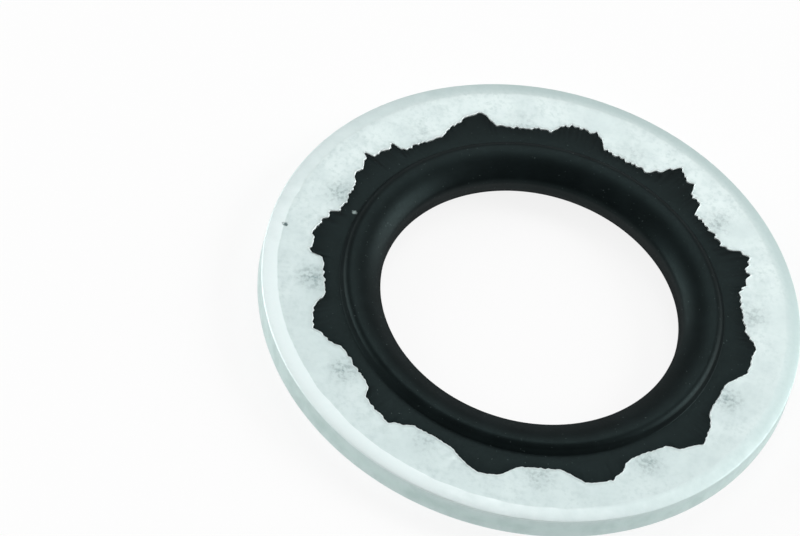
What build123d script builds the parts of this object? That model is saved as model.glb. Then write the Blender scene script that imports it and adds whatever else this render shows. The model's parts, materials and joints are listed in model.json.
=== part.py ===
from build123d import *

import os

# Bonded sealing washer: a flat aluminium ring with a rubber seal moulded round its bore.
# The seal is one moulding. It has a thick bead inside the ring, and on each face of the ring a
# thin skin that lies in a shallow coined seat. The seat's edge runs out in twelve uneven lobes.
# The origin is on the bore's axis, in the plane that the washer lies on: the lower crest of the
# bead. The bore runs along Z. Millimetres.

# --- Driving dimensions: the metal ring ---
RING_DIAMETER = 28.6
RING_THICKNESS = 1.65
BEVEL_WIDTH = 0.78  # the wide, shallow bevel round the rim, measured along the radius
BEVEL_HEIGHT = 0.17
SEAT_DEPTH = 0.2

# --- Driving dimensions: the bead, from its bore outwards ---
SEAL_BORE = 15.9
SEAL_HEIGHT = 2.52  # over both crests
BORE_LAND = 0.5  # the straight wall at the middle of the bore
NOSE_LEAN = 0.17  # how far the wall leans back between the land and the edge above it
NOSE_HEIGHT = 0.66  # from the middle plane to that edge
BORE_TO_CREST = 1.7
SHOULDER_WIDTH = 0.5  # the crest's rounding on the side of the groove
SHOULDER_DROP = 0.3
SHOULDER_TO_GROOVE = 0.08
GROOVE_WIDTH = 0.15  # from the groove's floor out to the skin
GROOVE_DEPTH = 0.1  # below the skin
BORE_COVER = 0.12  # rubber between the groove and the ring's bore, which it hides

# --- Driving dimensions: the skin and its lobes ---
SKIN_SUNK = 0.03  # how far the skin lies below the metal's face
SKIN_WIDTH = 0.58  # from the ring's bore to the seat's edge between two lobes
LOBE_REACH = 1.1  # what a usual lobe adds to that
ROOT_ROUNDING = 0.35
TIP_BULGE = 0.16  # how far a tip's middle stands beyond its two corners

# The lobes of the upper face. Each row gives where the lobe starts, where its tip starts and
# ends, where the lobe ends, in degrees from +X, and its reach as a share of LOBE_REACH.
LOBES = [
    (-7.0, -1.0, 5.0, 9.0, 0.78),
    (23.5, 30.0, 35.0, 38.0, 1.07),
    (53.0, 59.0, 64.5, 68.0, 1.24),
    (83.0, 87.0, 95.0, 98.0, 0.89),
    (112.0, 115.5, 121.0, 128.5, 0.98),
    (142.5, 148.0, 153.0, 160.0, 0.89),
    (171.5, 177.0, 184.0, 189.0, 0.84),
    (201.5, 207.0, 213.0, 218.0, 0.98),
    (232.0, 238.5, 245.0, 249.5, 0.89),
    (262.0, 267.0, 273.5, 278.5, 1.02),
    (291.5, 297.0, 303.5, 309.5, 1.07),
    (322.5, 328.0, 333.5, 339.5, 1.09),
]
LOWER_FACE_TURN = 120.0  # the lower face has the same lobes, turned this far round the axis

# --- Sizes that follow ---
ring_radius = RING_DIAMETER / 2
ring_top = RING_THICKNESS / 2  # heights here are above the washer's middle plane
seat_floor = ring_top - SEAT_DEPTH
skin_top = ring_top - SKIN_SUNK
crest_height = SEAL_HEIGHT / 2
bore_radius = SEAL_BORE / 2
crest_radius = bore_radius + BORE_TO_CREST
shoulder_radius = crest_radius + SHOULDER_WIDTH
groove_radius = shoulder_radius + SHOULDER_TO_GROOVE
groove_edge = groove_radius + GROOVE_WIDTH
metal_bore_radius = groove_edge + BORE_COVER
skin_radius = metal_bore_radius + SKIN_WIDTH


def polar(radius, degrees):
    """A point in the XY plane."""
    return Vector(radius, 0).rotate(Axis.Z, degrees)


def arc(radius, start, end):
    """An arc round the axis, from one angle to another in degrees."""
    return ThreePointArc(
        polar(radius, start),
        polar(radius, (start + end) / 2),
        polar(radius, end),
    )


def on_both_faces(upper):
    """A shape of the upper face, and its copy on the lower face."""
    return [upper, Rot(0, 0, LOWER_FACE_TURN) * mirror(upper, Plane.XY)]


def lobed_disc():
    """The outline of the seat and the skin: arcs between the lobes, with rounded roots."""
    edges = []
    for lobe, next_lobe in zip(LOBES, LOBES[1:] + LOBES[:1]):
        start, tip_start, tip_end, end, reach = lobe
        gap = (next_lobe[0] - end) % 360
        tip_radius = skin_radius + reach * LOBE_REACH
        corner_radius = tip_radius - TIP_BULGE
        first_corner = polar(corner_radius, tip_start)
        middle = polar(tip_radius, (tip_start + tip_end) / 2)
        last_corner = polar(corner_radius, tip_end)
        edges.append(Line(polar(skin_radius, start), first_corner))
        edges.append(ThreePointArc(first_corner, middle, last_corner))
        edges.append(Line(last_corner, polar(skin_radius, end)))
        edges.append(arc(skin_radius, end, end + gap))
    disc = make_face(Curve() + edges)
    corners = disc.vertices().sort_by(lambda corner: Vector(corner).length)
    roots = corners[: 2 * len(LOBES)]
    return fillet(roots, ROOT_ROUNDING)


def ring_blank():
    """The plain ring: flat faces and a wide, shallow bevel round the rim."""
    outline = Polyline(
        (metal_bore_radius, ring_top),
        (ring_radius - BEVEL_WIDTH, ring_top),
        (ring_radius, ring_top - BEVEL_HEIGHT),
        (ring_radius, BEVEL_HEIGHT - ring_top),
        (ring_radius - BEVEL_WIDTH, -ring_top),
        (metal_bore_radius, -ring_top),
        close=True,
    )
    return revolve(Plane.XZ * make_face(outline), Axis.Z)


def metal_ring():
    seat = Pos(0, 0, seat_floor) * extrude(lobed_disc(), SEAT_DEPTH)
    return ring_blank() - on_both_faces(seat)


def bead():
    """The bead with its groove, out to the bore of the metal ring."""
    nose_edge = (bore_radius + NOSE_LEAN, NOSE_HEIGHT)
    crest = (crest_radius, crest_height)
    shoulder = (shoulder_radius, crest_height - SHOULDER_DROP)
    corners = [
        shoulder,
        (groove_radius, skin_top - GROOVE_DEPTH),
        (groove_edge, skin_top),
        (metal_bore_radius, skin_top),
        (metal_bore_radius, 0),
        (bore_radius, 0),
        (bore_radius, BORE_LAND / 2),
        nose_edge,
    ]
    edges = [
        TangentArc(crest, nose_edge, tangent=(-1, 0)),
        TangentArc(crest, shoulder, tangent=(1, 0)),
        Polyline(*corners),
    ]
    upper = revolve(Plane.XZ * make_face(Curve() + edges), Axis.Z)
    return upper + mirror(upper, Plane.XY)


def rubber_seal():
    outline = lobed_disc() - Circle(metal_bore_radius)
    skin = Pos(0, 0, seat_floor) * extrude(outline, skin_top - seat_floor)
    return bead() + on_both_faces(skin)


def save(shape, name):
    """Stands the washer on its lower crest, and writes one piece."""
    export_step(Pos(0, 0, crest_height) * shape, f"parts/{name}.step")


os.makedirs("parts", exist_ok=True)
save(metal_ring(), "metal_ring")
save(rubber_seal(), "rubber_seal")
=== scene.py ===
import json
import math
import random

import bpy
from mathutils import Matrix, Vector


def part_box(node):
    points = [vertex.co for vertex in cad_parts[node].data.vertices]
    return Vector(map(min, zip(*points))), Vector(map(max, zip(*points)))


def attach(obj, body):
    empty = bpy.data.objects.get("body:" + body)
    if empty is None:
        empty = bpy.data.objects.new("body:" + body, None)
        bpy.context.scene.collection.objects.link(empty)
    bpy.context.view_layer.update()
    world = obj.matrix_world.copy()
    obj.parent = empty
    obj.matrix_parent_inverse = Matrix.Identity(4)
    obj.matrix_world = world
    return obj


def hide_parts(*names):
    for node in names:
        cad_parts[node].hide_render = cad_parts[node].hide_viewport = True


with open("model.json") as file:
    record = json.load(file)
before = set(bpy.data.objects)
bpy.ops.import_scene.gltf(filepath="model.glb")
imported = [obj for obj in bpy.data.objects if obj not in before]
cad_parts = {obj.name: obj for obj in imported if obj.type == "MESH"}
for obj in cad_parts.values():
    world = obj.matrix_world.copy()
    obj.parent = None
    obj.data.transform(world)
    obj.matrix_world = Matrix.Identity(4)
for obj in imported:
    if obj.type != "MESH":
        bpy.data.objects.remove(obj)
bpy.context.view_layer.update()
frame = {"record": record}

# A bonded sealing washer: a tumbled aluminium ring with a black rubber seal moulded round its bore.
# Each of its two pieces is a section swept round the bore's axis by one Geometry Nodes tree, which
# also lets the edge between rubber and metal run out in uneven, ragged lobes.

scene = bpy.context.scene

MM = 0.001

# --- Places and sizes that come from the frame, in metres ---
ring_low, ring_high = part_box("metal_ring")
seal_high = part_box("rubber_seal")[1]
bore = next(m for m in frame["record"]["mounts"] if m["name"] == "bore")

middle_plane = (ring_low[2] + ring_high[2]) / 2
ring_radius = ring_high[0] / MM
ring_top = (ring_high[2] - middle_plane) / MM
crest_height = (seal_high[2] - middle_plane) / MM
bore_radius = bore["dims"]["r_mm"]

# --- Sizes of the sections, in millimetres, heights above the middle plane ---
BEVEL_WIDTH = 0.78
BEVEL_HEIGHT = 0.17
BEVEL_ROUNDING = 0.18
BEVEL_RUN_IN = 0.1  # the stretch of face before the bevel, which the lobed edge doesn't move
BEVEL_EDGE_SUNK = 0.01  # how far the bevel's inner edge lies below the face
BEVEL_BLEND = 0.28  # how far the softest part of the bevel's inner edge fades
BEVEL_SWAY = 0.2  # how far that edge wanders in and out
SWAY_GRAIN = 9.0  # how fine its wandering is, as the scale of the noise round the ring
RIM_ROUNDING = 0.06
SEAT_DEPTH = 0.2
FACE_SPACING = 0.3  # between the points across the flat face
FACE_POINTS = 6
LIP_HEIGHT = 0.03  # the burr that coining the seat has raised along its edge
LIP_WIDTH = 0.16
# The burr's outline, as shares of its width and height: steep on the seat's side, gentle outwards.
LIP_OUTLINE = [(0.125, 0.7), (0.3125, 1.0), (0.6, 0.4), (1.0, 0.0)]

BORE_LAND = 0.5
NOSE_LEAN = 0.17
NOSE_HEIGHT = 0.66
NOSE_BEND = (0.35, 0.6)  # where the nose's wall bends, as shares of its lean and of its rise
NOSE_ROUNDING = 0.12
BORE_TO_CREST = 1.7
SHOULDER_WIDTH = 0.4
SHOULDER_DROP = 0.17
SHOULDER_TO_GROOVE = 0.15
SHOULDER_ROUNDING = 0.09
GROOVE_WIDTH = 0.1
GROOVE_DEPTH = 0.01
BORE_COVER = 0.2
SKIN_SUNK = 0.03
SKIN_WIDTH = 0.58
SKIN_EDGE_ROUNDING = 0.05
FOLLOW_BEFORE = 0.1  # how far inside its edge the skin already goes with that edge all the way

WALL_START = 0.1  # how far above the middle plane a half section's points on its walls start
LONGEST_EASE = 0.45  # how much of the run beside a corner its rounding may take

crest_radius = bore_radius + BORE_TO_CREST
shoulder_radius = crest_radius + SHOULDER_WIDTH
groove_radius = shoulder_radius + SHOULDER_TO_GROOVE
groove_edge = groove_radius + GROOVE_WIDTH
metal_bore_radius = groove_edge + BORE_COVER
skin_radius = metal_bore_radius + SKIN_WIDTH
skin_top = ring_top - SKIN_SUNK
seat_floor = ring_top - SEAT_DEPTH
bevel_start = ring_radius - BEVEL_WIDTH
corner_height = ring_top - BEVEL_HEIGHT

# How many steps round off each kind of corner, and make up the two arcs that leave the crest.
SEAL_CORNER_STEPS = 2
BEVEL_EDGE_STEPS = 4
RIM_CORNER_STEPS = 3
INNER_ARC_STEPS = 7
OUTER_ARC_STEPS = 6

# Where the materials change along the ring's section, in millimetres from the edge they follow.
SWAY_ZONE = 0.15  # on both sides of the bevel's inner edge
LIP_ZONE = (-0.01, 0.07)  # from the seat's edge outwards
LIP_BURNISH_AND_HIGHLIGHT = 0.4  # how strongly the lip is painted lighter: burnish, and a painted highlight along the seat's edge
BEVEL_FADE_START = 0.05  # inside the bevel's inner edge
RIM_FADE = (0.02, 0.14)  # where it starts, above the rim's corner, and how far down it goes on

# --- The lobed edge between rubber and metal ---
# Seen from above, the edge is a ragged chain. Each row is one lobe and the hollow after it, going
# anticlockwise: how ragged that stretch is, then the corners, each with its angle in degrees and
# its distance from the axis in millimetres.
EDGE = [
    (0.3, [(353, 11.32), (354.5, 11.52), (356.5, 11.79), (358.5, 11.92), (0.5, 11.85), (4, 11.9),
           (5.5, 11.95), (7, 11.8), (8, 11.58), (9, 11.38), (10.5, 11.27), (18, 11.18)]),
    (1.0, [(23.5, 11.2), (24.8, 11.42), (25.2, 11.6), (27, 11.73), (28.7, 12.0), (29.8, 11.85),
           (30.7, 11.92), (31.5, 12.17), (34, 12.25), (35, 12.04), (36.3, 11.96), (36.8, 11.62),
           (38, 11.35), (40, 11.15), (47, 11.1), (51, 11.08)]),
    (1.0, [(52.6, 11.3), (53.4, 11.69), (57, 11.75), (58, 12.08), (58.7, 12.33), (60.5, 12.25),
           (63, 12.52), (64.8, 12.54), (65.3, 12.1), (66.3, 12.2), (66.7, 11.75), (69.2, 11.16),
           (74, 11.04), (83.5, 11.12)]),
    (1.0, [(84.3, 11.45), (85, 11.77), (86.8, 11.96), (88, 11.84), (90, 12.0), (91, 11.87),
           (93.5, 11.92), (95.5, 11.75), (97, 11.48), (98.5, 11.28), (105, 11.2), (113.2, 11.22)]),
    (0.9, [(113.8, 11.48), (115, 11.77), (116, 12.2), (120, 12.08), (122.5, 11.78),
           (125.5, 11.62), (128, 11.27), (129.5, 11.12), (141.3, 11.12)]),
    (0.8, [(142.2, 11.32), (142.7, 11.8), (143.4, 11.84), (144.5, 11.56), (147, 11.73), (150, 11.72),
           (150.4, 12.1), (151.1, 12.16), (151.6, 11.9), (153, 11.81), (154.5, 11.63), (159, 11.56),
           (160, 11.35), (161.5, 11.17), (166, 11.07), (171.3, 11.1)]),
    (0.8, [(172.5, 11.42), (175.5, 11.63), (178.5, 11.85), (180, 11.86), (181.3, 12.0),
           (182.3, 11.76), (184, 11.74), (187, 11.86), (187.8, 11.76), (188, 11.3),
           (188.8, 11.14), (194, 10.99), (199, 10.99)]),
    (0.6, [(201.5, 11.08), (202.5, 11.37), (204, 11.68), (205.3, 11.79), (210, 12.0),
           (211.5, 12.06), (212.5, 11.8), (214.5, 11.66), (216.5, 11.55), (217.5, 11.24),
           (218.5, 11.08), (221, 10.99), (229, 11.0)]),
    (0.7, [(232.5, 11.08), (234, 11.37), (235.5, 11.68), (238, 11.8), (242, 11.8),
           (242.9, 11.97), (244.3, 11.96), (245, 11.74), (247.5, 11.5), (248.3, 11.28),
           (250, 11.14), (256, 11.04)]),
    (0.2, [(261.5, 11.2), (265, 11.65), (267, 11.88), (269.7, 12.07), (272.5, 12.02),
           (275, 11.88), (277, 11.58), (279, 11.23), (280.5, 11.1), (286, 11.03)]),
    (0.4, [(291.5, 11.13), (293, 11.35), (295, 11.62), (296.7, 11.94), (298.5, 12.04),
           (304, 12.05), (305, 11.87), (307.5, 11.64), (308.7, 11.37), (309.4, 11.18),
           (311.5, 11.05), (316, 10.98)]),
    (0.4, [(322, 11.18), (324, 11.48), (324.5, 11.71), (328, 11.94), (330.8, 12.23),
           (333.5, 11.98), (336, 11.75), (338, 11.48), (339, 11.28), (341, 11.14),
           (346, 11.08), (350.5, 11.03)]),
]
LOWER_FACE_TURN = 120.0
EDGE_SOFTNESS = 0.55  # degrees over which the corners are eased
TOOTH_PITCH = (0.05, 0.22)  # the least and the most, along the edge
TOOTH_SIZE = 0.17
SMALLEST_TOOTH = 0.05  # as a share of the largest
TOOTH_BIAS = 1.5  # above 1, more of the teeth are small
CHANGE_SIDE = 0.8  # the chance that the next tooth points the other way
LAST_TOOTH = 359.3  # degrees: the teeth stop there, clear of the first
TOOTH_SEED = 11

# The dents between two lobes, where a tooth of the mould has pressed on the metal: the angle in
# degrees, the distance from the axis, and how strong the mark is.
MARK_REACH = 1.25  # how far a mark spreads from its middle
MARK_DEPTH = 0.02  # how far a mark of strength 1 is pressed in
TOOTH_MARKS = [
    (15.5, 11.8, 0.5),
    (46.0, 11.8, 0.6),
    (76.0, 11.6, 0.3),
    (106.0, 11.5, 0.35),
    (135.0, 11.5, 0.3),
    (165.5, 11.6, 0.8),
    (195.5, 11.6, 0.9),
    (225.5, 11.6, 0.8),
    (254.5, 11.6, 0.4),
    (285.5, 11.6, 0.6),
    (315.0, 11.6, 0.7),
    (346.5, 11.5, 0.8),
]

# A nick in the metal and a pale fleck of flash on the rubber: the angle, the distance from the
# axis, the height above the middle plane and the size.
NICK = (181.0, 13.42, ring_top, 0.13)
FLECK = (169.5, 10.38, skin_top, 0.12)

# Where the face's painted shade and the bevel's painted highlight are: the angle at which each is
# most, and the cosines of the angles away from there at which it starts and is full.
SHADED_FACE_SIDE = (262.0, -0.7, 0.5)
LIT_BEVEL_SIDE = (226.0, -0.5, 0.8)

STEPS_ROUND = 1296  # of the sweep
EDGE_POINTS = 3600  # on the lobed edge


def linear(hex_colour):
    """An sRGB hex colour as linear RGBA."""
    channels = [int(hex_colour[i : i + 2], 16) / 255 for i in (1, 3, 5)]
    return [c / 12.92 if c <= 0.04045 else ((c + 0.055) / 1.055) ** 2.4 for c in channels] + [1.0]


def add(tree, kind, inputs=None, **settings):
    """Adds a node with its settings. Each of its inputs, by name or number, gets a value, or a link
    from a socket or from another node's first output."""
    made = tree.nodes.new(kind)
    for name, value in settings.items():
        setattr(made, name, value)
    for name, value in (inputs or {}).items():
        if isinstance(value, bpy.types.Node):
            value = value.outputs[0]
        if isinstance(value, bpy.types.NodeSocket):
            tree.links.new(value, made.inputs[name])
        else:
            made.inputs[name].default_value = value
    return made


# ---------------------------------------------------------------- sections


def rounded(points, radius, steps):
    """An open run of (radius, height) points with its inner corners eased by small curves."""
    eased = [points[0]]
    for before, corner, after in zip(points, points[1:], points[2:]):
        here = Vector(corner)
        back = Vector(before) - here
        on = Vector(after) - here
        reach = min(radius, back.length * LONGEST_EASE, on.length * LONGEST_EASE)
        start = here + back.normalized() * reach
        end = here + on.normalized() * reach
        for step in range(steps + 1):
            t = step / steps
            point = start * (1 - t) ** 2 + here * (2 * t * (1 - t)) + end * t**2
            eased.append(tuple(point))
    eased.append(points[-1])
    return eased


def crest_arc(side, width, drop, steps):
    """The arc that leaves the crest level and ends that far out and that far down."""
    radius = (width**2 + drop**2) / (2 * drop)
    whole = 2 * math.atan2(drop, width)
    points = []
    for step in range(steps + 1):
        turn = whole * step / steps
        reach = crest_radius + side * radius * math.sin(turn)
        points.append((reach, crest_height - radius * (1 - math.cos(turn))))
    return points


def seal_half_section():
    """The upper half of the seal's section, from the bore round to the ring's hidden bore."""
    land_end = BORE_LAND / 2
    bend_out, bend_up = NOSE_BEND
    nose = [
        (bore_radius, land_end / 2),
        (bore_radius, land_end),
        (bore_radius + NOSE_LEAN * bend_out, land_end + (NOSE_HEIGHT - land_end) * bend_up),
    ]
    inner_drop = crest_height - NOSE_HEIGHT
    inner = crest_arc(-1, BORE_TO_CREST - NOSE_LEAN, inner_drop, INNER_ARC_STEPS)[::-1]
    outer = crest_arc(1, SHOULDER_WIDTH, SHOULDER_DROP, OUTER_ARC_STEPS)
    upper = rounded(nose + inner[:2], NOSE_ROUNDING, SEAL_CORNER_STEPS)[:-1]
    groove_corners = [
        outer[-2],
        outer[-1],
        (groove_radius, skin_top - GROOVE_DEPTH),
        (groove_edge, skin_top),
        (metal_bore_radius, skin_top),
    ]
    groove = rounded(groove_corners, SHOULDER_ROUNDING, SEAL_CORNER_STEPS)[:-1]
    edge = [
        (metal_bore_radius, skin_top),
        (skin_radius, skin_top),
        (skin_radius, seat_floor),
    ]
    skin = rounded(edge, SKIN_EDGE_ROUNDING, SEAL_CORNER_STEPS)
    back = [(metal_bore_radius, seat_floor), (metal_bore_radius, WALL_START)]
    return upper + inner[1:] + outer[1:-2] + groove + skin + back


def ring_half_section():
    """The upper half of the ring's section, from its hidden bore round the face to the rim."""
    hidden = [
        (metal_bore_radius, WALL_START),
        (metal_bore_radius, seat_floor),
        (skin_radius, seat_floor),
        (skin_radius, ring_top - SKIN_SUNK / 2),
    ]
    lip = [(skin_radius + x * LIP_WIDTH, ring_top + z * LIP_HEIGHT) for x, z in LIP_OUTLINE]
    face_start = skin_radius + LIP_WIDTH
    face = [(face_start + FACE_SPACING * i, ring_top) for i in range(1, FACE_POINTS + 1)]
    on_bevel = (ring_radius - BEVEL_WIDTH / 2, corner_height + BEVEL_HEIGHT / 2)
    bevel_edge = [
        (bevel_start - BEVEL_RUN_IN, ring_top),
        (bevel_start, ring_top - BEVEL_EDGE_SUNK),
        on_bevel,
    ]
    bevel = rounded(bevel_edge, BEVEL_ROUNDING, BEVEL_EDGE_STEPS)
    corner = [on_bevel, (ring_radius, corner_height), (ring_radius, WALL_START)]
    rim = rounded(corner, RIM_ROUNDING, RIM_CORNER_STEPS)[1:]
    return hidden + lip + face + bevel + rim


def ramp(value, start, end):
    """0 at the start, 1 at the end, and level beyond them."""
    return min(max((value - start) / (end - start), 0.0), 1.0)


def share_of_follow(radius):
    """How far a point of a section goes with the lobed edge: fully at the edge, and not at all at
    the ring's bore or at the bevel."""
    if radius <= skin_radius:
        return ramp(radius, metal_bore_radius, skin_radius - FOLLOW_BEFORE)
    return ramp(radius, bevel_start - BEVEL_RUN_IN, skin_radius + LIP_WIDTH)


def hidden_object(name, points, edges=()):
    """A mesh object that only a node tree reads: points in millimetres."""
    mesh = bpy.data.meshes.new(name)
    mesh.from_pydata([[c * MM for c in p] for p in points], edges, [])
    return bpy.data.objects.new(name, mesh)


def section_object(name, half):
    """The whole section as a closed loop. Swept round a circle, X becomes the radius and Y is
    turned downwards, so a height is entered as minus Y. Each point also carries how far it goes
    with the lobed edge and sways at the bevel's, and how much it is lip, bevel or sheared rim: the
    shares that carry the lip's painted highlight, the bevel's painted highlight and shade, and the
    rim's painted shade and rougher finish."""
    loop = half + [(radius, -height) for radius, height in reversed(half)]
    points = [(radius, -height, 0.0) for radius, height in loop]
    made = hidden_object(name, points, [(i, (i + 1) % len(loop)) for i in range(len(loop))])
    shares = {"follow": [], "sway": [], "lip": [], "bevel": [], "sheared_rim": []}
    fade_start = bevel_start - BEVEL_FADE_START
    rim_start = corner_height + RIM_FADE[0]
    for radius, height in loop:
        on_face = abs(height) > seat_floor
        shares["follow"].append(share_of_follow(radius))
        sways = on_face and abs(radius - bevel_start) < SWAY_ZONE
        shares["sway"].append(1.0 if sways else 0.0)
        on_lip = on_face and LIP_ZONE[0] < radius - skin_radius < LIP_ZONE[1]
        shares["lip"].append(LIP_BURNISH_AND_HIGHLIGHT if on_lip else 0.0)
        onto_bevel = ramp(radius, fade_start, fade_start + BEVEL_BLEND)
        shares["bevel"].append(onto_bevel if on_face else 0.0)
        below_corner = ramp(abs(height), rim_start, rim_start - RIM_FADE[1])
        shares["sheared_rim"].append(below_corner if radius > bevel_start else 0.0)
    for share, values in shares.items():
        made.data.attributes.new(share, "FLOAT", "POINT").data.foreach_set("value", values)
    return made


def between(corners, angle):
    """The value at an angle in degrees on a closed chain of (angle, value) corners."""
    angle = (angle - corners[0][0]) % 360 + corners[0][0]
    for (a, value_a), (b, value_b) in zip(corners, corners[1:]):
        if a <= angle <= b:
            return value_a + (value_b - value_a) * (angle - a) / (b - a)
    return corners[-1][1]


def closed_chain(corners):
    """The corners with their angles rising from the first, and the first again at the end."""
    first = corners[0][0]
    turned = [((angle - first) % 360 + first, value) for angle, value in corners]
    return turned + [(first + 360, corners[0][1])]


def teeth(raggedness):
    """Small uneven teeth round the edge, as (angle, offset) corners."""
    chance = random.Random(TOOTH_SEED)
    corners = []
    angle = 0.0
    side = 1
    while angle < LAST_TOOTH:
        offset = side * TOOTH_SIZE * chance.uniform(SMALLEST_TOOTH, 1.0) ** TOOTH_BIAS
        corners.append((angle, offset * between(raggedness, angle)))
        side = -side if chance.random() < CHANGE_SIDE else side
        angle += math.degrees(chance.uniform(*TOOTH_PITCH) / skin_radius)
    return closed_chain(corners)


def edge_object():
    """The edge as points evenly spaced in angle, each of which carries how far the rubber reaches
    beyond its level edge there."""
    chain = closed_chain([corner for _, corners in EDGE for corner in corners])
    raggedness = closed_chain([(corners[0][0], share) for share, corners in EDGE])
    small = teeth(raggedness)
    points = []
    reaches = []
    for i in range(EDGE_POINTS):
        angle = 360 * i / EDGE_POINTS
        near = [angle + EDGE_SOFTNESS * s / 4 for s in (-2, -1, 0, 1, 2)]
        radius = sum(between(chain, a) + between(small, a) for a in near) / len(near)
        turn = math.radians(angle)
        points.append((radius * math.cos(turn), radius * math.sin(turn), 0.0))
        reaches.append((radius - skin_radius) * MM)
    made = hidden_object("lobed_edge", points)
    carried = made.data.attributes.new("reach", "FLOAT", "POINT")
    carried.data.foreach_set("value", reaches)
    return made


def marks_object():
    """One point for each tooth mark, which carries the mark's strength."""
    points = []
    strengths = []
    for angle, radius, strength in TOOTH_MARKS:
        turn = math.radians(angle)
        points.append((radius * math.cos(turn), radius * math.sin(turn), 0.0))
        strengths.append(strength)
    made = hidden_object("tooth_marks", points)
    carried = made.data.attributes.new("strength", "FLOAT", "POINT")
    carried.data.foreach_set("value", strengths)
    return made


# ---------------------------------------------------------------- the sweep


def sweep_tree():
    """The tree that sweeps a section round the axis, carries each point of it in or out with the
    lobed edge, and presses the tooth marks in."""
    tree = bpy.data.node_groups.new("washer_sweep", "GeometryNodeTree")
    face = tree.interface
    face.new_socket("Geometry", in_out="OUTPUT", socket_type="NodeSocketGeometry")
    for name, kind in (
        ("Section", "Object"),
        ("Lobed edge", "Object"),
        ("Edge points", "Int"),
        ("Tooth marks", "Object"),
        ("Steps round", "Int"),
        ("Lower face turn", "Float"),
        ("Sway", "Float"),
        ("Sway grain", "Float"),
        ("Mark reach", "Float"),
        ("Mark depth", "Float"),
        ("Middle plane", "Float"),
        ("Material", "Material"),
    ):
        face.new_socket(name, in_out="INPUT", socket_type=f"NodeSocket{kind}")
    given = tree.nodes.new("NodeGroupInput").outputs
    maths, vectors = "ShaderNodeMath", "ShaderNodeVectorMath"

    # Curve to Mesh sweeps the section along a circle, which can't be a single point: its small
    # radius is taken off again below.
    path_radius = 0.01 * MM
    section = add(tree, "GeometryNodeObjectInfo", {"Object": given["Section"]}).outputs["Geometry"]
    profile = add(tree, "GeometryNodeMeshToCurve", {0: section})
    circle = add(
        tree,
        "GeometryNodeCurvePrimitiveCircle",
        {"Resolution": given["Steps round"], "Radius": path_radius},
    )
    swept = add(tree, "GeometryNodeCurveToMesh", {"Curve": circle, "Profile Curve": profile})

    # Where each point is round the axis. The lower face has the same lobes, turned on.
    place = add(tree, "GeometryNodeInputPosition")
    height = add(tree, "ShaderNodeSeparateXYZ", {0: place}).outputs["Z"]
    flat = add(tree, vectors, {0: place, 1: (1, 1, 0)}, operation="MULTIPLY")
    swept_radius = add(tree, vectors, {0: flat}, operation="LENGTH").outputs["Value"]
    radius = add(tree, maths, {0: swept_radius, 1: path_radius}, operation="SUBTRACT")
    is_lower = add(tree, maths, {0: height, 1: 0.0}, operation="LESS_THAN")
    minus_turn = add(tree, maths, {0: 0.0, 1: given["Lower face turn"]}, operation="SUBTRACT")
    turn_back = add(tree, maths, {0: is_lower, 1: minus_turn}, operation="MULTIPLY")
    turned = add(
        tree, "ShaderNodeVectorRotate", {"Vector": flat, "Angle": turn_back}, rotation_type="Z_AXIS"
    )
    way = add(tree, vectors, {0: turned}, operation="NORMALIZE")

    # How far the lobed edge reaches at that angle.
    way_parts = add(tree, "ShaderNodeSeparateXYZ", {0: way}).outputs
    angle = add(tree, maths, {0: way_parts["Y"], 1: way_parts["X"]}, operation="ARCTAN2")
    turns = add(tree, maths, {0: angle, 1: 2 * math.pi}, operation="DIVIDE")
    part_turn = add(tree, maths, {0: turns}, operation="FRACT")
    along = add(tree, maths, {0: part_turn, 1: given["Edge points"]}, operation="MULTIPLY")
    nearest_point = add(tree, maths, {0: along}, operation="ROUND")
    edge_point = add(tree, maths, {0: nearest_point, 1: given["Edge points"]}, operation="MODULO")
    edge = add(tree, "GeometryNodeObjectInfo", {"Object": given["Lobed edge"]}).outputs["Geometry"]
    edge_reach = add(tree, "GeometryNodeInputNamedAttribute", {"Name": "reach"}, data_type="FLOAT")
    reach = add(tree, "GeometryNodeSampleIndex", {0: edge, "Value": edge_reach, "Index": edge_point})

    # The bevel's inner edge sways a little, because tumbling wears it unevenly.
    wander = add(tree, "ShaderNodeTexNoise", {"Vector": way, "Scale": given["Sway grain"]})
    off_centre = add(tree, maths, {0: wander, 1: 0.5}, operation="SUBTRACT")
    wandered = add(tree, maths, {0: off_centre, 1: given["Sway"]}, operation="MULTIPLY")
    sway = add(tree, "GeometryNodeInputNamedAttribute", {"Name": "sway"}, data_type="FLOAT")
    swayed = add(tree, maths, {0: sway, 1: wandered}, operation="MULTIPLY")
    follow = add(tree, "GeometryNodeInputNamedAttribute", {"Name": "follow"}, data_type="FLOAT")
    followed = add(tree, maths, {0: follow, 1: reach, 2: swayed}, operation="MULTIPLY_ADD")
    new_radius = add(tree, maths, {0: radius, 1: followed}, operation="ADD")

    # How strongly the nearest tooth has marked each point.
    marks = add(tree, "GeometryNodeObjectInfo", {"Object": given["Tooth marks"]}).outputs["Geometry"]
    spot_place = add(tree, vectors, {0: way, "Scale": new_radius}, operation="SCALE")
    nearest_mark = add(tree, "GeometryNodeSampleNearest", {0: marks, "Sample Position": spot_place})
    away = add(
        tree,
        "GeometryNodeProximity",
        {0: marks, "Sample Position": spot_place},
        target_element="POINTS",
    ).outputs["Distance"]
    strength = add(tree, "GeometryNodeInputNamedAttribute", {"Name": "strength"}, data_type="FLOAT")
    pressed = add(tree, "GeometryNodeSampleIndex", {0: marks, "Value": strength, "Index": nearest_mark})
    mark = add(
        tree,
        "ShaderNodeMapRange",
        {0: away, 1: given["Mark reach"], 2: 0.0, 3: 0.0, 4: pressed},
        interpolation_type="SMOOTHSTEP",
    )
    upwards = add(tree, maths, {0: height}, operation="SIGN")
    depth = add(tree, maths, {0: upwards, 1: given["Mark depth"]}, operation="MULTIPLY")
    sunk = add(tree, maths, {0: depth, 1: mark}, operation="MULTIPLY")

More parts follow.
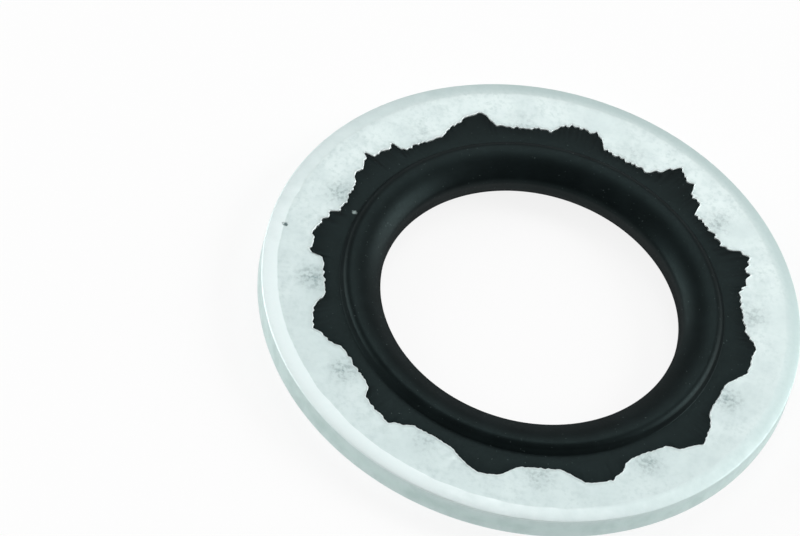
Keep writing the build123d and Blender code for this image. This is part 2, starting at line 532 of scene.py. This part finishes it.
    lift = add(tree, maths, {0: given["Middle plane"], 1: sunk}, operation="SUBTRACT")
    risen = add(tree, "ShaderNodeCombineXYZ", {"Z": lift})
    growth = add(tree, maths, {0: new_radius, 1: swept_radius}, operation="DIVIDE")
    stretch = add(tree, "ShaderNodeCombineXYZ", {"X": growth, "Y": growth, "Z": 1.0})
    new_place = add(tree, vectors, {0: place, 1: stretch, 2: risen}, operation="MULTIPLY_ADD")
    moved = add(tree, "GeometryNodeSetPosition", {0: swept, "Position": new_place})
    marked = add(
        tree,
        "GeometryNodeStoreNamedAttribute",
        {0: moved, "Name": "tooth_mark", "Value": mark},
        data_type="FLOAT",
        domain="POINT",
    )
    smooth = add(tree, "GeometryNodeSetShadeSmooth", {0: marked})
    real = add(tree, "GeometryNodeRealizeInstances", {0: smooth})
    painted = add(tree, "GeometryNodeSetMaterial", {0: real, "Material": given["Material"]})
    add(tree, "NodeGroupOutput", {0: painted})
    return tree


def swept_piece(name, tree, values):
    """Runs the tree once and keeps the result as a plain mesh."""
    holder = bpy.data.objects.new(f"{name}_sweep", bpy.data.meshes.new(f"{name}_empty"))
    scene.collection.objects.link(holder)
    modifier = holder.modifiers.new("sweep", "NODES")
    modifier.node_group = tree
    sockets = {s.name: s.identifier for s in tree.interface.items_tree if s.in_out == "INPUT"}
    for label, value in values.items():
        modifier[sockets[label]] = value
    graph = bpy.context.evaluated_depsgraph_get()
    mesh = bpy.data.meshes.new_from_object(holder.evaluated_get(graph), depsgraph=graph)
    mesh.name = name
    bpy.data.objects.remove(holder)
    piece = bpy.data.objects.new(name, mesh)
    scene.collection.objects.link(piece)
    return piece


# ---------------------------------------------------------------- materials


def new_material(name):
    """A material with only its shader and output: (material, tree, shader)."""
    material = bpy.data.materials.new(name)
    material.use_nodes = True
    tree = material.node_tree
    tree.nodes.clear()
    shader = add(tree, "ShaderNodeBsdfPrincipled")
    add(tree, "ShaderNodeOutputMaterial", {"Surface": shader.outputs[0]})
    return material, tree, shader


def spot(tree, place, where):
    """A small uneven spot on the upper face: 1 in its middle and 0 past its edge."""
    angle, radius, height, size = where
    turn = math.radians(angle)
    centre = Vector((radius * math.cos(turn), radius * math.sin(turn), height)) * MM
    centre.z += middle_plane
    away = add(tree, "ShaderNodeVectorMath", {0: place, 1: centre}, operation="DISTANCE")
    rough = add(tree, "ShaderNodeTexNoise", {"Vector": place, "Scale": 1 / (size * MM)})
    distance = away.outputs["Value"]
    uneven = add(tree, "ShaderNodeMath", {0: rough, 1: distance}, operation="MULTIPLY")
    EDGE, MIDDLE = 0.6, 0.25  # shares of the size
    return add(
        tree, "ShaderNodeMapRange", {0: uneven, 1: size * MM * EDGE, 2: size * MM * MIDDLE}
    )


def tumbled_aluminium():
    """Soft aluminium, stamped and tumbled with fine grit: pale and matt, with a faint green cast
    and a cloudy, finely pitted face. One side of the face is painted greyer, as painted shade. The
    lip is painted lighter, partly burnished by the grit and partly a painted highlight along the
    seat's edge. The bevel is painted lighter on one side, as a painted highlight, and darker on the
    other, as painted shade. The sheared rim is painted darker, partly its duller finish and partly
    painted shade on the wall, and there are grey scuffs where the mould's teeth have pressed."""
    material, tree, shader = new_material("tumbled_aluminium")
    place = add(tree, "ShaderNodeTexCoord").outputs["Object"]
    noise, spread, mix = "ShaderNodeTexNoise", "ShaderNodeMapRange", "ShaderNodeMix"
    maths, attribute = "ShaderNodeMath", "ShaderNodeAttribute"

    # The face: soft clouds, smaller mottling on them, and pits where the clouds are thin.
    CLOUD, MOTTLE, PITS, DOTS = 3.2, 0.9, 0.22, 0.2  # mm, the sizes of the grains
    cloud = add(tree, noise, {"Vector": place, "Scale": 1 / (CLOUD * MM), "Detail": 2.0})
    cloudy = add(tree, spread, {0: cloud, 1: 0.3, 2: 0.7})
    clouds = add(
        tree, mix, {0: cloudy, 6: linear("#D8E5E4"), 7: linear("#E2EDEC")}, data_type="RGBA"
    ).outputs[2]
    grain = add(tree, noise, {"Vector": place, "Scale": 1 / (MOTTLE * MM), "Detail": 4.0})
    mottle = add(tree, spread, {0: grain, 1: 0.42, 2: 0.7, 4: 0.55})
    mottled = add(
        tree, mix, {0: mottle, 6: clouds, 7: linear("#D2DFDF")}, data_type="RGBA"
    ).outputs[2]
    fine = add(tree, noise, {"Vector": place, "Scale": 1 / (PITS * MM), "Detail": 3.0})
    pits = add(tree, spread, {0: fine, 1: 0.48, 2: 0.75, 4: 0.42})
    thin = add(tree, spread, {0: cloud, 1: 0.35, 2: 0.6})
    pitting = add(tree, maths, {0: pits, 1: thin}, operation="MULTIPLY")
    pitted = add(
        tree, mix, {0: pitting, 6: mottled, 7: linear("#B9CCCB")}, data_type="RGBA"
    ).outputs[2]

    # One side of the face is painted greyer, as painted shade, and the bevel is painted lighter on
    # about that side, as a painted highlight, and darker on the other, as painted shade.
    outwards = add(tree, "ShaderNodeVectorMath", {0: place}, operation="NORMALIZE")
    streaks = add(tree, maths, {0: grain, 1: 0.5}, operation="SUBTRACT")
    sides = []
    for angle, least, most in (SHADED_FACE_SIDE, LIT_BEVEL_SIDE):
        way = (math.cos(math.radians(angle)), math.sin(math.radians(angle)), 0.0)
        toward = add(
            tree, "ShaderNodeVectorMath", {0: outwards, 1: way}, operation="DOT_PRODUCT"
        ).outputs["Value"]
        uneven = add(tree, maths, {0: streaks, 1: 0.8, 2: toward}, operation="MULTIPLY_ADD")
        sides.append(add(tree, spread, {0: uneven, 1: least, 2: most}))
    face_shading, bevel_lighting = sides
    # Painted shade: the face is greyed on one side.
    face_shade_share = add(tree, maths, {0: face_shading, 1: 0.5}, operation="MULTIPLY")
    face_shaded = add(
        tree, mix, {0: face_shade_share, 6: pitted, 7: linear("#C1D0D0")}, data_type="RGBA"
    ).outputs[2]
    # Painted highlight and painted shade: the bevel is lighter on one side and darker on the other.
    bevel_lit_and_shaded = add(
        tree, mix, {0: bevel_lighting, 6: linear("#C9DAD9"), 7: linear("#EEF9F9")}, data_type="RGBA"
    ).outputs[2]
    onto_bevel = add(tree, attribute, attribute_name="bevel").outputs["Fac"]
    edge_width = add(tree, spread, {0: bevel_lighting, 3: 1.0, 4: 0.15})
    bevel = add(tree, spread, {0: onto_bevel, 2: edge_width})
    bevelled = add(tree, mix, {0: bevel, 6: face_shaded, 7: bevel_lit_and_shaded}, data_type="RGBA").outputs[2]
    # Painted highlight, with burnish: the lip along the seat's edge is painted lighter.
    lip = add(tree, attribute, attribute_name="lip").outputs["Fac"]
    lip_burnished_and_highlighted = add(
        tree, mix, {0: lip, 6: bevelled, 7: linear("#F4FAFA")}, data_type="RGBA"
    ).outputs[2]

    # Scuffs: a soft grey with dark dots in it.
    dots = add(tree, noise, {"Vector": place, "Scale": 1 / (DOTS * MM), "Detail": 3.0})
    dotted = add(tree, spread, {0: dots, 1: 0.46, 2: 0.66, 3: 0.28, 4: 0.95})
    mark = add(tree, attribute, attribute_name="tooth_mark").outputs["Fac"]
    scuff = add(tree, maths, {0: mark, 1: dotted}, operation="MULTIPLY")
    scuffed = add(
        tree, mix, {0: scuff, 6: lip_burnished_and_highlighted, 7: linear("#7F9394")}, data_type="RGBA"
    ).outputs[2]
    nicked = add(
        tree, mix, {0: spot(tree, place, NICK), 6: scuffed, 7: linear("#5D7070")}, data_type="RGBA"
    ).outputs[2]

    # Painted shade, with a duller sheared finish: the rim's wall is painted darker.
    rim = add(tree, attribute, attribute_name="sheared_rim").outputs["Fac"]
    rim_shaded_tone = add(
        tree, mix, {0: mottle, 6: linear("#D8E8E6"), 7: linear("#C3D7D4")}, data_type="RGBA"
    ).outputs[2]
    whole = add(tree, mix, {0: rim, 6: nicked, 7: rim_shaded_tone}, data_type="RGBA").outputs[2]

    tree.links.new(whole, shader.inputs["Base Color"])
    shader.inputs["Metallic"].default_value = 0.85
    grit = add(tree, spread, {0: fine, 1: 0.3, 2: 0.7, 3: 0.5, 4: 0.62})
    rough = add(tree, mix, {0: rim, 2: grit, 3: 0.78}, data_type="FLOAT").outputs[0]
    tree.links.new(rough, shader.inputs["Roughness"])
    bump = add(tree, "ShaderNodeBump", {"Height": fine, "Strength": 0.3, "Distance": 0.006 * MM})
    tree.links.new(bump.outputs[0], shader.inputs["Normal"])
    return material


def moulded_rubber():
    """Black moulded rubber, such as HNBR: nearly black, with a satin face that the mould gave it,
    faint greyer patches and a few specks of dust."""
    material, tree, shader = new_material("moulded_rubber")
    place = add(tree, "ShaderNodeTexCoord").outputs["Object"]
    noise, spread, mix = "ShaderNodeTexNoise", "ShaderNodeMapRange", "ShaderNodeMix"
    BLOOM, SKIN_GRAIN, SPECK = 1.4, 0.16, 0.13  # mm, the patches, the mould's finish, the dust
    bloom = add(tree, noise, {"Vector": place, "Scale": 1 / (BLOOM * MM), "Detail": 5.0})
    patches = add(tree, spread, {0: bloom, 1: 0.35, 2: 0.7})
    tone = add(
        tree, mix, {0: patches, 6: linear("#080B0C"), 7: linear("#0F1415")}, data_type="RGBA"
    ).outputs[2]
    dust = add(tree, noise, {"Vector": place, "Scale": 1 / (SPECK * MM), "Detail": 1.0})
    specks = add(tree, spread, {0: dust, 1: 0.73, 2: 0.8, 4: 0.5})
    dusty = add(tree, mix, {0: specks, 6: tone, 7: linear("#55605F")}, data_type="RGBA").outputs[2]
    flecked = add(
        tree, mix, {0: spot(tree, place, FLECK), 6: dusty, 7: linear("#A9B8B6")}, data_type="RGBA"
    ).outputs[2]
    tree.links.new(flecked, shader.inputs["Base Color"])
    grain = add(tree, noise, {"Vector": place, "Scale": 1 / (SKIN_GRAIN * MM), "Detail": 3.0})
    satin = add(tree, spread, {0: grain, 1: 0.3, 2: 0.7, 3: 0.34, 4: 0.44})
    # Seen at a glancing angle the fine finish scatters more, and the gloss is lost.
    facing = add(tree, "ShaderNodeLayerWeight").outputs["Facing"]
    glancing = add(tree, spread, {0: facing, 1: 0.35, 2: 0.8})
    rough = add(tree, mix, {0: glancing, 2: satin, 3: 0.95}, data_type="FLOAT").outputs[0]
    tree.links.new(rough, shader.inputs["Roughness"])
    shader.inputs["Specular IOR Level"].default_value = 0.14
    shader.inputs["Specular Tint"].default_value = linear("#CFFFFF")
    bump = add(tree, "ShaderNodeBump", {"Height": grain, "Strength": 0.5, "Distance": 0.004 * MM})
    tree.links.new(bump.outputs[0], shader.inputs["Normal"])
    return material


# ---------------------------------------------------------------- the two pieces

sweep = sweep_tree()
shared = {
    "Lobed edge": edge_object(),
    "Edge points": EDGE_POINTS,
    "Tooth marks": marks_object(),
    "Steps round": STEPS_ROUND,
    "Lower face turn": math.radians(LOWER_FACE_TURN),
    "Sway grain": SWAY_GRAIN,
    "Mark reach": MARK_REACH * MM,
    "Middle plane": middle_plane,
}
ring = swept_piece(
    "tumbled_ring",
    sweep,
    {
        **shared,
        "Section": section_object("ring_section", ring_half_section()),
        "Sway": BEVEL_SWAY * MM,
        "Mark depth": MARK_DEPTH * MM,
        "Material": tumbled_aluminium(),
    },
)
seal = swept_piece(
    "moulded_seal",
    sweep,
    {
        **shared,
        "Section": section_object("seal_section", seal_half_section()),
        "Sway": 0.0,
        "Mark depth": 0.0,
        "Material": moulded_rubber(),
    },
)
for piece, node, slot in ((ring, "metal_ring", "metal"), (seal, "rubber_seal", "rubber")):
    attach(piece, "root")
    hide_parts(node)

# ---------------------------------------------------------------- floor, light and camera


def white_floor():
    """A plain white floor. To the camera, and in what the metal and the rubber mirror, most of its
    light is its own, so that it reads as white and still shows a little of the washer's shadow."""
    HALF = 2.0  # metres
    OWN_LIGHT = 0.85
    mesh = bpy.data.meshes.new("floor")
    corners = [(-HALF, -HALF, 0), (HALF, -HALF, 0), (HALF, HALF, 0), (-HALF, HALF, 0)]
    mesh.from_pydata(corners, [], [(0, 1, 2, 3)])
    floor = bpy.data.objects.new("floor", mesh)
    scene.collection.objects.link(floor)
    material = bpy.data.materials.new("white_floor")
    material.use_nodes = True
    nodes = material.node_tree
    nodes.nodes.clear()
    matt = add(nodes, "ShaderNodeBsdfDiffuse", {"Color": linear("#FBFBFB")})
    glow = add(nodes, "ShaderNodeEmission", {"Color": linear("#FFFFFF"), "Strength": 1.0})
    path = add(nodes, "ShaderNodeLightPath").outputs
    passing = add(
        nodes, "ShaderNodeMath", {0: path["Is Glossy Ray"], 1: path["Is Transmission Ray"]}
    )
    seen = add(nodes, "ShaderNodeMath", {0: path["Is Camera Ray"], 1: passing}, use_clamp=True)
    share = add(nodes, "ShaderNodeMath", {0: seen, 1: OWN_LIGHT}, operation="MULTIPLY")
    both = add(nodes, "ShaderNodeMixShader", {0: share, 1: matt, 2: glow})
    add(nodes, "ShaderNodeOutputMaterial", {"Surface": both})
    mesh.materials.append(material)


def studio_world():
    """A dim room with soft round panels of light in it, and white where the camera sees it."""
    world = bpy.data.worlds.new("studio")
    scene.world = world
    world.use_nodes = True
    nodes = world.node_tree
    nodes.nodes.clear()
    direction = add(nodes, "ShaderNodeTexCoord").outputs["Generated"]
    level = ROOM_LEVEL
    for azimuth, elevation, core, rim, brightness in LIGHT_PANELS:
        turn, tilt = math.radians(azimuth), math.radians(elevation)
        axis = (math.cos(turn) * math.cos(tilt), math.sin(turn) * math.cos(tilt), math.sin(tilt))
        toward = add(nodes, "ShaderNodeVectorMath", {0: direction, 1: axis}, operation="DOT_PRODUCT")
        panel = add(
            nodes,
            "ShaderNodeMapRange",
            {
                0: toward.outputs["Value"],
                1: math.cos(math.radians(rim)),
                2: math.cos(math.radians(core)),
                3: 0.0,
                4: brightness,
            },
            interpolation_type="SMOOTHSTEP",
        )
        level = add(nodes, "ShaderNodeMath", {0: level, 1: panel})
    # The white backdrop: all that the camera sees past the floor, and, for what metal and rubber
    # reflect, the low band where it stands.
    up = add(nodes, "ShaderNodeSeparateXYZ", {0: direction}).outputs["Z"]
    low, high = (math.sin(math.radians(a)) for a in BACKDROP_EDGE)
    band = add(nodes, "ShaderNodeMapRange", {0: up, 1: high, 2: low})
    path = add(nodes, "ShaderNodeLightPath").outputs
    passing = add(
        nodes, "ShaderNodeMath", {0: path["Is Glossy Ray"], 1: path["Is Transmission Ray"]}
    )
    reflected = add(nodes, "ShaderNodeMath", {0: passing, 1: band}, operation="MULTIPLY")
    seen = add(nodes, "ShaderNodeMath", {0: path["Is Camera Ray"], 1: reflected}, use_clamp=True)
    white = add(nodes, "ShaderNodeMix", {0: seen, 2: level, 3: 1.0}, data_type="FLOAT")
    sky = add(nodes, "ShaderNodeBackground", {"Color": linear("#FFFFFF"), "Strength": white})
    add(nodes, "ShaderNodeOutputWorld", {"Surface": sky})


def long_lens_camera():
    """A long lens, 51 degrees above the floor and rolled, aimed a little beside the washer."""
    ELEVATION = math.radians(51.04)
    DISTANCE = 0.429
    ROLL = math.radians(16.03)
    LENS = 370.0  # mm
    AIM = Vector((-0.00706, -0.00012, middle_plane))
    data = bpy.data.cameras.new("camera")
    data.lens = LENS
    data.clip_start = 0.01
    camera = bpy.data.objects.new("camera", data)
    scene.collection.objects.link(camera)
    back = Vector((0, -math.cos(ELEVATION), math.sin(ELEVATION)))
    camera.location = Vector((0, 0, middle_plane)) + back * DISTANCE
    turn = (AIM - camera.location).to_track_quat("-Z", "Y").to_matrix().to_4x4()
    camera.matrix_world = Matrix.Translation(camera.location) @ turn @ Matrix.Rotation(ROLL, 4, "Z")
    scene.camera = camera


ROOM_LEVEL = 0.29
# Each panel: its azimuth anticlockwise from +X, its elevation, how far its full light reaches and
# where it ends, all in degrees, and its brightness.
LIGHT_PANELS = [
    (172, 30, 8, 22, 0.9),
    (172, 15, 14, 30, 3.4),
    (24, 25, 14, 28, 3.2),
    (27, 36, 5, 14, 4.5),
    (90, 60, 8, 20, 2.5),
    (100, 50, 10, 28, 0.35),
]
BACKDROP_EDGE = (4.0, 9.0)  # degrees up, where the white backdrop starts to fade and is gone

white_floor()
studio_world()
long_lens_camera()
scene.view_settings.view_transform = "Standard"
